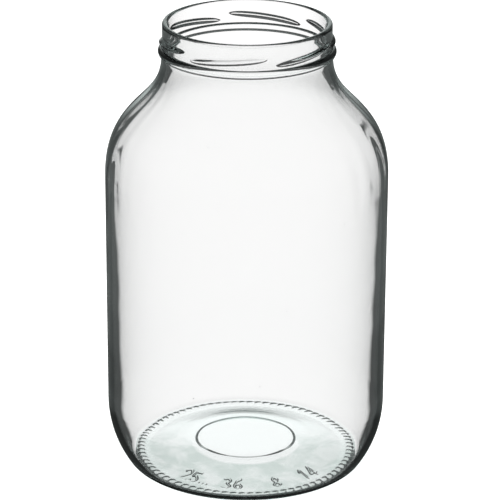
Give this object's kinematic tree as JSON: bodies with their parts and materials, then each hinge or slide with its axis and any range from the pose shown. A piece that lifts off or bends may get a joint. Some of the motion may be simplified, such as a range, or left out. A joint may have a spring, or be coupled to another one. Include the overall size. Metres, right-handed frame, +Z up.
{
  "type": "glass jar",
  "caption": "Wide-mouth clear glass storage jar, empty and open, with a twist-off rim, round shoulder, tall body and pushed-up base.",
  "frame": {"origin": "centre of the bearing ring that the jar stands on", "axes": "+Z up the jar's axis, out of its mouth; -Y is the front"},
  "size_m": [0.1606, 0.1606, 0.2624],
  "materials": {
    "clear_glass": "clear, smooth, faint green where thick"
  },
  "bodies": {
    "root": {"jar": "clear_glass"}
  },
  "joints": []
}
